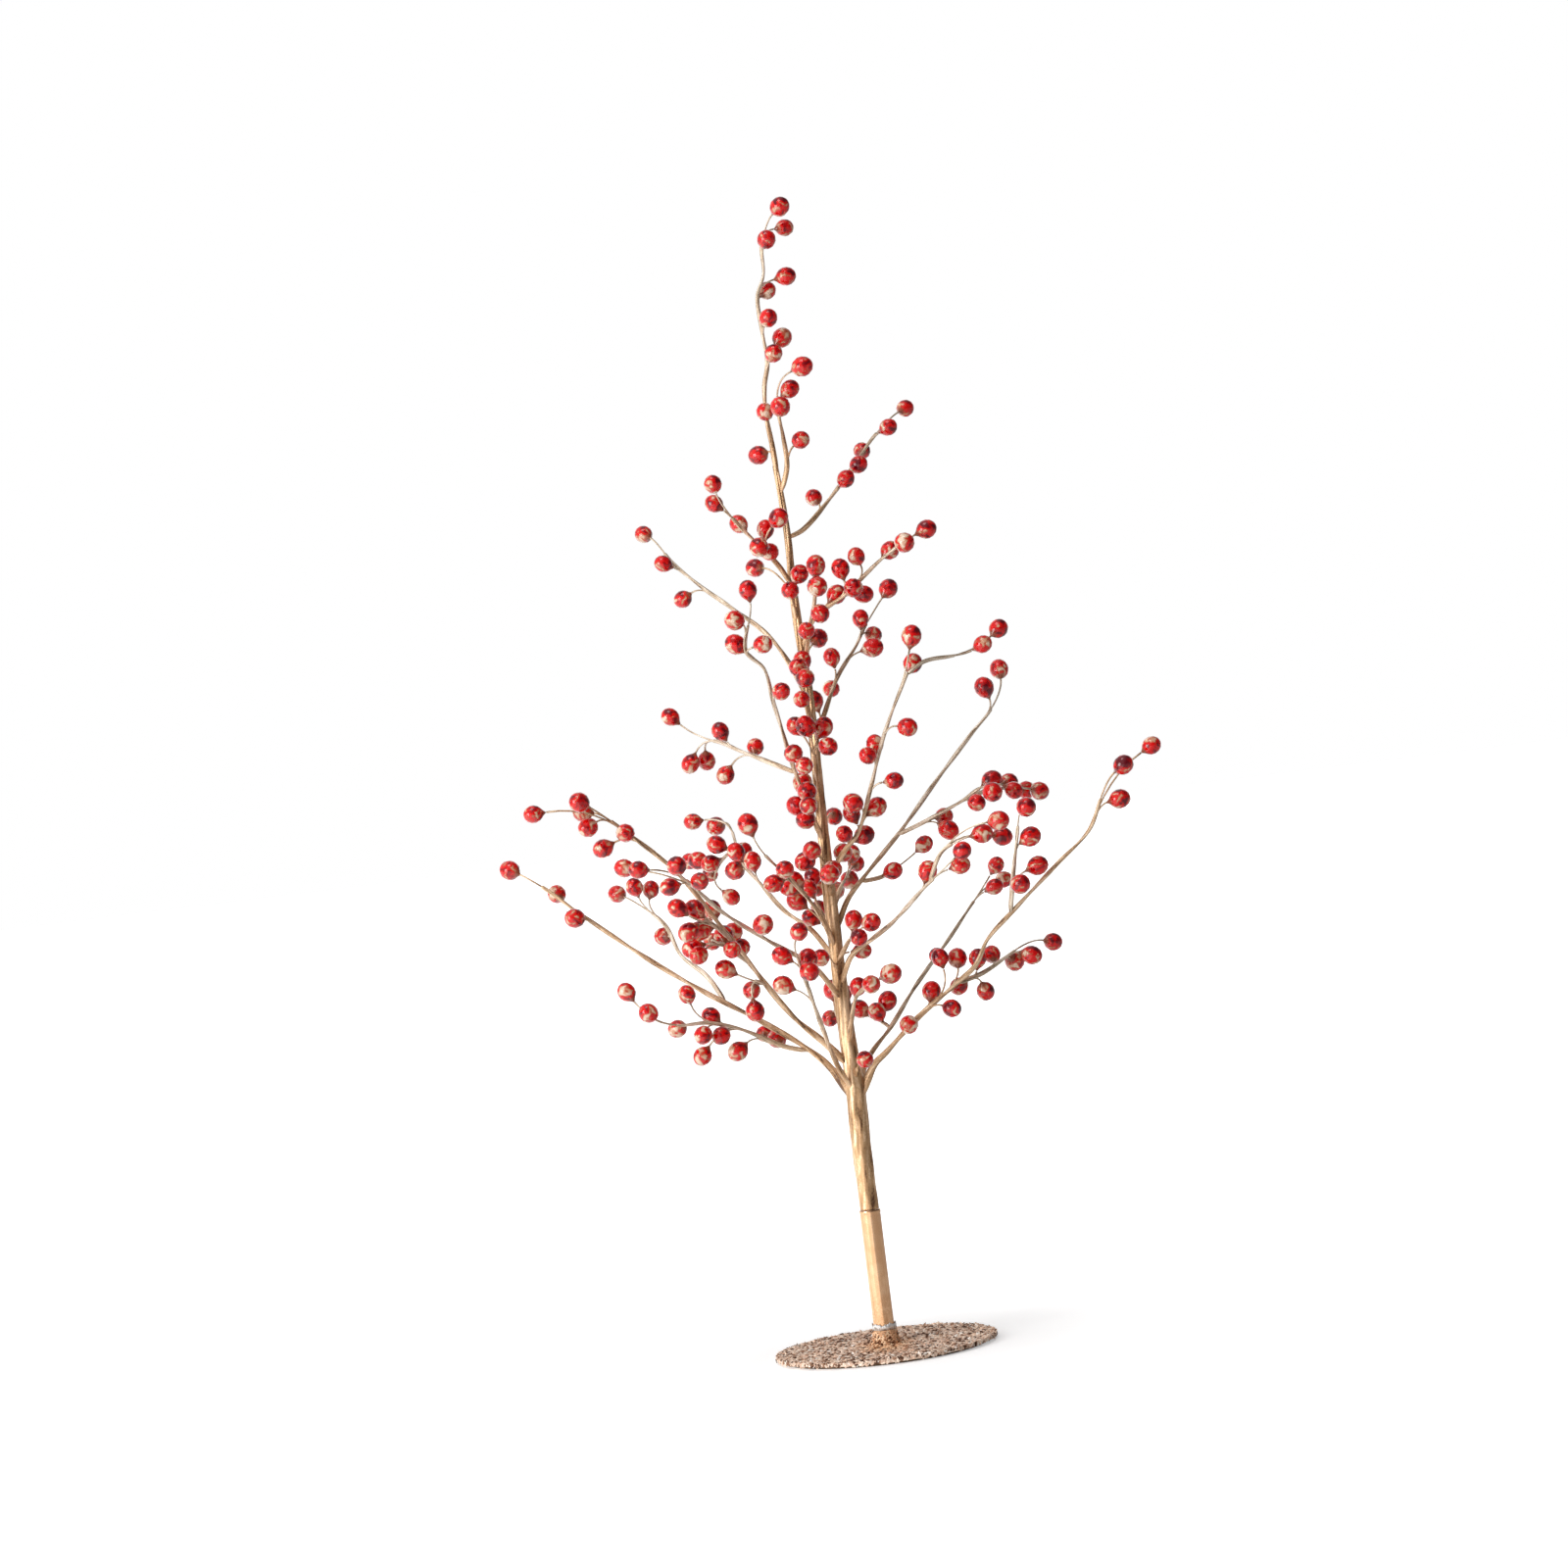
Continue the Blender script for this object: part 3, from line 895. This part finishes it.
body_names = {member: body for body, members in frame["record"]["behaviour"]["bodies"].items()
              for member in members}
runs = Runs()
trunk = {"name": "trunk", "body": "trunk", "pivot": None, "points": trunk_points, "radii": trunk_radii,
         "lengths": trunk_lengths, "smooth": trunk_points, "carries_to": 0}
layouts = {"trunk": trunk}
runs.add(trunk_points[:-1], trunk_points[1:], np.maximum(trunk_radii[:-1], trunk_radii[1:]), trunk, "wire")
for spray in SPRAYS:
    carrier = layouts[spray["from"]]
    pixels = np.array(spray["course_pixels"], float)
    flat = place(pixels[:, 0], pixels[:, 1])
    k, share, _ = nearest_on(carrier["points"] * (1, 0, 1), flat[0])
    root = carrier["points"][k] + (carrier["points"][k + 1] - carrier["points"][k]) * share
    flat_lengths = lengths_along(flat)
    swing = spray["toward_share"] * CROWN_HALF_DEPTH * flat_lengths / flat_lengths[-1]
    points = place(pixels[:, 0], pixels[:, 1], swing - root[1])
    points[0] = root
    carried = carrier["radii"][k] + (carrier["radii"][k + 1] - carrier["radii"][k]) * share
    thick = spray.get("thick", False)
    first, last = (min(radius, carried) for radius in (BRANCH_RADII if thick else TWIG_RADII))
    radii = first + (last - first) * flat_lengths / flat_lengths[-1]
    lengths = lengths_along(points)
    bends = spray.get("bends", False)
    clear = clear_length(points, lengths, carrier, (BEND_GAP if bends else SEAT_GAP) + first)
    smooth = points.copy()
    foot = carrier["lengths"][k] + (carrier["lengths"][k + 1] - carrier["lengths"][k]) * share
    smooth[0] = curve(carrier["smooth"], carrier["lengths"], max(foot - ROOT_DROP * carried, 0))[0][0]
    layout = {"name": spray["name"], "body": spray["name"] if bends else carrier["body"],
              "pivot": place_along(points, lengths, clear) if bends else carrier["pivot"],
              "points": points, "radii": radii, "lengths": lengths, "smooth": smooth, "clear": clear,
              "foot": foot, "carries_to": 0, "roots": [], "centres": []}
    carrier["carries_to"] = max(carrier["carries_to"], foot)
    layouts[spray["name"]] = layout
    runs.add(points[:-1], points[1:], np.maximum(radii[:-1], radii[1:]), layout, "wire")

berry_count = 0
for spray in SPRAYS:
    layout = layouts[spray["name"]]
    own_wire = {(layout["name"], layout["body"], kind) for kind in ("wire", "foot")}
    points, lengths = layout["points"], layout["lengths"]
    for x, y in spray["berry_pixels"]:
        berry_count += 1
        k, share, _ = nearest_on(points * (1, 0, 1), place(x, y))
        depth = points[k, 1] + (points[k + 1, 1] - points[k, 1]) * share
        sway = DEPTH_SWAY * math.sin(GOLDEN_ANGLE * berry_count)
        best = None
        fused = np.array([owner in own_wire for owner in runs.owners])
        for attempt in range(DEPTH_TRIES):
            shift = (1 if attempt % 2 == 0 else -1) * math.ceil(attempt / 2) * DEPTH_STEP
            centre = place(x, y, sway + shift - depth)
            k, share, distance = nearest_on(points, centre)
            beneath = lengths[k] + (lengths[k + 1] - lengths[k]) * share
            rooted = max(beneath - ROOT_SET_BACK_SHARE * distance, layout["clear"])
            root = place_along(points, lengths, rooted)
            free = root + (centre - root) * FOOT_SHARE
            least = min(runs.room(centre, centre, BERRY_RADIUS, layout).min(),
                        runs.room(free, centre, NECK_RADIUS, layout).min(),
                        runs.room(root, free, FOOT_RADIUS, layout)[~fused].min())
            if best is None or least > best[0]:
                best = (least, centre, root, free, rooted)
            if best[0] >= 0:
                break
        _, centre, root, free, rooted = best
        runs.add(centre, centre, BERRY_RADIUS, layout, "berry")
        runs.add(free, centre, NECK_RADIUS, layout, "stalk")
        runs.add(root, free, FOOT_RADIUS, layout, "foot")
        layout["roots"].append(rooted)
        layout["centres"].append(centre)

# Wire bundles
# The wires of a spray show as two strands laid together, with a thick gold coat near the trunk, and pale and
# bare toward the tip. A stalk leaves them for each berry.
WIRE_SIDES = 10
WIRE_ROW = 0.9
TWIST_PITCH = 70
PAIR_SHARE = 0.2
WIRE_SHARES = (0.88, 1.05)
WIRE_METALLIC = 0.25
FLARE_SHARES = (0.3, 0.15)
FLARE_REACH = 4.0
BARE_SHARES = (0.2, 0.85)
BARE_FROM = 12
BARE_OVER = 70
STALK_SIDES = 6
STALK_ROWS = 8
STALK_RADIUS = 0.47
STALK_GUIDE_SHARE = 0.5
STALK_LEAD = 9
ROOT_TIP_SHARE = 0.3
TIP_PAST = 1.5
TIP_SHARE = 0.85
TIP_END_SHARE = 0.5
THIN_OVER = 8
STALK_SWELL = 0.5
SWELL_FROM_SHARE = 0.7
SIDE_NUDGE = (0.001, 0.002, 0.003)
NECK_REACH = 7.6
NECK_OVERLAP = 0.9
NECK_MOST_SHARE = 0.8
WIRE_STRETCH = (0.8, 0.8, 0.08)
STREAK_STEP = 137


def bareness(layout, at):
    """How bare a wire is at a length along it: coated at the trunk, barer outward, thin ones more so. A sprig
    goes on from where it leaves its branch."""
    return layout["bare_most"] * np.clip((layout["beyond"] + at - BARE_FROM) / BARE_OVER, 0, 1)


def stalk_starts(layout):
    """Length along the bundle at which each berry's wire begins to leave it."""
    return np.maximum(np.array(layout["roots"]) - STALK_LEAD, layout["clear"])


def wire_shape(layout):
    """The bundle: a tube whose section is r (1 + s cos 2(a - turn)), so two wires show and slowly twist. It
    starts thin inside its carrier, flares where it leaves it, thins with the share of its berries that are
    still ahead, and stops where the last one leaves."""
    leaves = stalk_starts(layout)
    at = np.arange(0, max(leaves.max() + TIP_PAST, layout["carries_to"]), WIRE_ROW)
    where, heading = curve(layout["smooth"], layout["lengths"], at)
    ahead = np.clip((leaves - at[:, None]) / THIN_OVER + 0.5, 0, 1).mean(1)
    plain = np.interp(at, layout["lengths"], layout["radii"]) * (TIP_SHARE + (1 - TIP_SHARE) * ahead)
    plain = plain * layout["stout"] * np.clip(ROOT_TIP_SHARE + at / layout["clear"], 0, 1)
    plain = plain * (1 + layout["flare"] * np.exp(-np.maximum(at - layout["clear"], 0) / FLARE_REACH))
    plain[-1] *= TIP_END_SHARE
    angle = np.arange(WIRE_SIDES) / WIRE_SIDES * 2 * np.pi
    strand = angle - at[:, None] / TWIST_PITCH * 2 * np.pi
    radius = plain[:, None] * (1 + PAIR_SHARE * np.cos(2 * strand))
    laid = np.stack(np.broadcast_arrays(np.cos(strand), np.sin(strand), at[:, None]), -1).reshape(-1, 3)
    ends = np.array([[0, 0, at[0]], [0, 0, at[-1]]])
    points, faces = skin(rings_along(where, heading, radius))
    bare = bareness(layout, np.concatenate([np.repeat(at, WIRE_SIDES), at[[0, -1]]]))
    return points, faces, np.vstack([laid, ends]), bare


def stalk_shape(layout):
    """Stalks: each leaves the bundle along it and curves over to its berry. The middle line is the curve
    (1-t)^2 root + 2 t (1-t) guide + t^2 neck, with the guide ahead of the root on the bundle's own line."""
    at = stalk_starts(layout)
    roots, along = curve(layout["smooth"], layout["lengths"], at)
    centres = np.array(layout["centres"])
    span = np.linalg.norm(centres - roots, axis=1)[:, None]
    guide = roots + along * span * STALK_GUIDE_SHARE
    facing = centres - guide
    facing /= np.linalg.norm(facing, axis=1)[:, None]
    neck = centres - facing * np.minimum(NECK_REACH - NECK_OVERLAP, NECK_MOST_SHARE * span)
    t = np.linspace(0, 1, STALK_ROWS)[None, :, None]
    line = (1 - t) ** 2 * roots[:, None] + 2 * t * (1 - t) * guide[:, None] + t**2 * neck[:, None]
    course = 2 * (1 - t) * (guide - roots)[:, None] + 2 * t * (neck - guide)[:, None]
    course /= np.linalg.norm(course, axis=2)[:, :, None]
    # The nudge gives a stalk that goes straight on a side too.
    side = np.cross(along, facing) + SIDE_NUDGE
    side /= np.linalg.norm(side, axis=1)[:, None]
    across = side[:, None] - course * (side[:, None] * course).sum(2)[:, :, None]
    across /= np.linalg.norm(across, axis=2)[:, :, None]
    beside = np.cross(course, across)
    angle = np.arange(STALK_SIDES) / STALK_SIDES * 2 * np.pi
    radius = STALK_RADIUS * (1 + STALK_SWELL * np.maximum(0, t - SWELL_FROM_SHARE))
    ring = across[:, :, None] * np.cos(angle)[:, None] + beside[:, :, None] * np.sin(angle)[:, None]
    rings = line[:, :, None] + ring * radius[..., None]
    shapes = [skin(one) for one in rings]
    points = np.vstack([shape[0] for shape in shapes])
    count = len(shapes[0][0])
    faces = [many(count, face, len(rings)) for face in shapes[0][1]]
    at = at[:, None, None] + span[:, None] * t
    laid = np.stack(np.broadcast_arrays(np.cos(angle), np.sin(angle), at), -1).reshape(len(rings), -1, 3)
    last = at[:, [0, -1], 0]
    ends = np.stack([0 * last, 0 * last, last], -1)
    laid = np.concatenate([laid, ends], 1).reshape(-1, 3)
    return points, faces, laid, bareness(layout, laid[:, 2]), centres, facing


# Berries
# A round drop of clear red acrylic, moulded over the end of its wire with a short neck. Gold dust sank to one
# side before it set, so each berry is peach and cream there and deep red on the other side, and no two match.
BERRY_SIDES = 12
BERRY_SEED = 5
BERRY_SIZE_SHARES = (0.82, 0.97)
BERRY_LONG = 1.1
BERRY_BALL_DEGREES = (-33, -8, 17, 42, 67)
BERRY_NECK = [(-7.6, 0.5), (-6.1, 1.7), (-4.8, 3.3)]
BERRY_GLOSS = {"Roughness": 0.12, "IOR": 1.5, "Specular_IOR_Level": 0.3, "Coat_Weight": 0.4,
               "Coat_Roughness": 0.04}
DUST_SIDE = (-0.55, -0.6, -0.58)
DUST_SPREAD = 0.5
DUST_LEAST = -0.35
DUST_DRIFT = 0.11
TONE_SPREAD = 0.5
TONE_DRIFT = 0.09
CLOUD_SCALE = 240
CLOUD_WISPS = {"Detail": 1.5, "Roughness": 0.5, "Distortion": 0.6}
WAVE_STRENGTH = 0.22
WAVE_DEPTH = 1.2 * MM
BERRY_STOPS = [(0.3, (0.13, 0.0, 0.006, 1)), (0.37, (0.2, 0.0, 0.005, 1)), (0.44, (0.44, 0.0, 0.002, 1)),
               (0.51, (0.8, 0.002, 0.002, 1)), (0.58, (0.74, 0.006, 0.004, 1)), (0.62, (0.55, 0.1, 0.05, 1)),
               (0.67, (0.7, 0.35, 0.21, 1)), (0.76, (0.88, 0.66, 0.5, 1))]
NECK_COLOUR = (0.3, 0.08, 0.04, 1)


def berry_shape(centres, facing, random):
    """Drops along their own axis: the radius is R cos p at height R sin p round the ball, and runs in a
    hollow curve from the ball's back to the neck."""
    count = len(centres)
    long = BERRY_RADIUS * BERRY_LONG
    ball = [(long * math.sin(p), BERRY_RADIUS * math.cos(p)) for p in np.radians(BERRY_BALL_DEGREES)]
    profile = np.array(BERRY_NECK + ball)
    side = np.cross(facing, random.normal(0, 1, (count, 3)))
    side /= np.linalg.norm(side, axis=1)[:, None]
    beside = np.cross(facing, side)
    angle = np.arange(BERRY_SIDES) / BERRY_SIDES * 2 * np.pi
    size = random.uniform(*BERRY_SIZE_SHARES, count)[:, None, None, None]
    ring = side[:, None] * np.cos(angle)[:, None] + beside[:, None] * np.sin(angle)[:, None]
    rings = facing[:, None, None] * profile[None, :, None, 0:1] + ring[:, None] * profile[None, :, None, 1:2]
    rings = centres[:, None, None] + rings * size
    _, faces = skin(rings[0])
    necks = centres - facing * NECK_REACH * size[:, 0, 0]
    tips = centres + facing * BERRY_RADIUS * BERRY_LONG * size[:, 0, 0]
    points = np.concatenate([rings.reshape(count, -1, 3), necks[:, None], tips[:, None]], 1)
    each = points.shape[1]
    outward = (points - centres[:, None]) / BERRY_RADIUS
    dust = DUST_SIDE + random.normal(0, DUST_SPREAD, (count, 3))
    dust /= np.linalg.norm(dust, axis=1)[:, None]
    dusty = np.maximum((outward * dust[:, None]).sum(2).ravel(), DUST_LEAST)
    tone = np.repeat(random.uniform(-TONE_SPREAD, TONE_SPREAD, count), each)
    neck = np.tile(np.concatenate([np.repeat(profile[:, 0] < -BERRY_RADIUS, BERRY_SIDES), [1, 0]]), count)
    tones = {"dusty": dusty * DUST_DRIFT + tone * TONE_DRIFT, "neck": neck.astype(float)}
    return points.reshape(-1, 3), [many(each, part, count) for part in faces], tones


berry_red, tree, surface = new_material("clear red acrylic", **BERRY_GLOSS)
clouds = noise(tree, CLOUD_SCALE, **CLOUD_WISPS)
dusty = node(tree, "ShaderNodeAttribute", attribute_name="dusty").outputs["Fac"]
neck = node(tree, "ShaderNodeAttribute", attribute_name="neck").outputs["Fac"]
colour = ramp(tree, combined(tree, "ADD", clouds, dusty), BERRY_STOPS)
feed(tree, surface, Base_Color=mixed(tree, neck, colour, NECK_COLOUR),
     Normal=bumps(tree, clouds, WAVE_STRENGTH, WAVE_DEPTH))

wire_gold = gilt_material("wire gold", WIRE_STRETCH, WIRE_METALLIC)
random = np.random.default_rng(BERRY_SEED)
for number, spray in enumerate(SPRAYS):
    name = spray["name"]
    layout = layouts[name]
    carrier = layouts[spray["from"]]
    kind = 0 if spray.get("thick", False) else 1
    layout["flare"] = FLARE_SHARES[kind]
    layout["stout"] = WIRE_SHARES[kind]
    layout["bare_most"] = max(BARE_SHARES[kind], carrier.get("bare_most", 0))
    layout["beyond"] = carrier["beyond"] + layout["foot"] if "beyond" in carrier else 0
    wire_points, wire_faces, wire_laid, wire_bare = wire_shape(layout)
    stalk_points, stalk_faces, stalk_laid, stalk_bare, centres, facing = stalk_shape(layout)
    stalk_faces = [face + len(wire_points) for face in stalk_faces]
    new_piece(name + "_wires", (np.vstack([wire_points, stalk_points]), wire_faces + stalk_faces), wire_gold,
              body_names[name], [name],
              {"laid": np.vstack([wire_laid, stalk_laid]) + (0, 0, number * STREAK_STEP),
               "bare": np.concatenate([wire_bare, stalk_bare])})
    points, faces, tones = berry_shape(centres, facing, random)
    new_piece(name + "_berries", (points, faces), berry_red, body_names[name], [name], tones)

# Floor, light and camera
# A plain pale floor, a large soft lamp at the left, a smaller one above, and a sky that is bright at the
# left, above and behind. The camera stands where the photograph was taken and is turned with it.
FLOOR_SIZE = 40
WHITE = (1, 1, 1, 1)
FLOOR_COLOUR = (0.82, 0.82, 0.82, 1)
FLOOR_ROUGHNESS = 0.9
FLOOR_GLOW = (0.4, 1.0)
FLOOR_GLOW_REACH = (0.06, 0.3)
FLOOR_MIRROR_REACH = (-0.01, 0.03)
SKY_AXIS = (0.9, 0, -0.4)
SKY_TURN = (-0.55, 0.2)
SKY_STRENGTHS = (0.75, 0.12)
SKY_BEHIND = (0.5, 0.95)
LEFT_LAMP = {"at": (-1.6, -1.2, 0.55), "aim": (0, 0, 0.3), "size": 1.0, "watts": 24}
TOP_LAMP = {"at": (-0.3, -0.5, 1.9), "aim": (0, 0, 0.2), "size": 0.7, "watts": 6}
SENSOR = 36
CAMERA_REACH = 100
PICTURE_PIXELS = 1600
bpy.ops.mesh.primitive_plane_add(size=FLOOR_SIZE)
floor = bpy.context.object
floor.name = "floor"
pale, tree, surface = new_material("pale floor", Base_Color=FLOOR_COLOUR, Roughness=FLOOR_ROUGHNESS,
                                   Emission_Color=WHITE)
spot = node(tree, "ShaderNodeTexCoord").outputs["Object"]
seen = node(tree, "ShaderNodeLightPath").outputs
away = node(tree, "ShaderNodeVectorMath", {0: spot}, operation="LENGTH").outputs["Value"]
direct = combined(tree, "MULTIPLY", seen["Is Camera Ray"],
                  mapped(tree, away, FLOOR_GLOW_REACH, FLOOR_GLOW, smooth=True))
right = node(tree, "ShaderNodeSeparateXYZ", {"Vector": spot}).outputs["X"]
mirrored = combined(tree, "MULTIPLY", seen["Is Glossy Ray"],
                    mapped(tree, right, FLOOR_MIRROR_REACH, (1, 0), smooth=True))
feed(tree, surface, Emission_Strength=combined(tree, "MAXIMUM", direct, mirrored))
floor.data.materials.append(pale)

world = bpy.data.worlds.new("studio")
bpy.context.scene.world = world
world.use_nodes = True
sky = world.node_tree
seen = node(sky, "ShaderNodeLightPath").outputs
direction = node(sky, "ShaderNodeTexCoord").outputs["Generated"]
leftward = node(sky, "ShaderNodeVectorMath", {0: direction, 1: SKY_AXIS}, operation="DOT_PRODUCT")
strength = mapped(sky, leftward.outputs["Value"], SKY_TURN, SKY_STRENGTHS, smooth=True)
backward = node(sky, "ShaderNodeSeparateXYZ", {"Vector": direction}).outputs["Y"]
mirrored = combined(sky, "MULTIPLY", mapped(sky, backward, SKY_BEHIND, smooth=True), seen["Is Glossy Ray"])
for white in (mirrored, seen["Is Camera Ray"], seen["Is Transmission Ray"]):
    strength = combined(sky, "MAXIMUM", strength, white)
background = sky.nodes["Background"]
background.inputs["Color"].default_value = WHITE
feed(sky, background, Strength=strength)


def soft_lamp(name, at, aim, size, watts):
    """A square lamp that faces a point."""
    data = bpy.data.lights.new(name, "AREA")
    data.size = size
    data.energy = watts
    lamp = bpy.data.objects.new(name, data)
    lamp.location = at
    lamp.rotation_euler = (Vector(aim) - Vector(at)).to_track_quat("-Z", "Y").to_euler()
    bpy.context.scene.collection.objects.link(lamp)


soft_lamp("left lamp", **LEFT_LAMP)
soft_lamp("top lamp", **TOP_LAMP)

half = PICTURE_PIXELS / 2
aim = Vector(place(half, half) * MM)
stand = Vector((0, -VIEW_DISTANCE * MM, VIEW_HEIGHT * MM))
data = bpy.data.cameras.new("camera")
data.sensor_width = SENSOR
data.lens = SENSOR / 2 * (aim - stand).length / (half * MM_PER_PIXEL * MM)
data.clip_end = CAMERA_REACH
camera = bpy.data.objects.new("camera", data)
camera.location = stand
turn = (aim - stand).to_track_quat("-Z", "Y").to_matrix().to_4x4()
camera.rotation_euler = (turn @ Matrix.Rotation(-PICTURE_TURN, 4, "Z")).to_euler()
bpy.context.scene.collection.objects.link(camera)
bpy.context.scene.camera = camera
bpy.context.scene.view_settings.view_transform = "Standard"
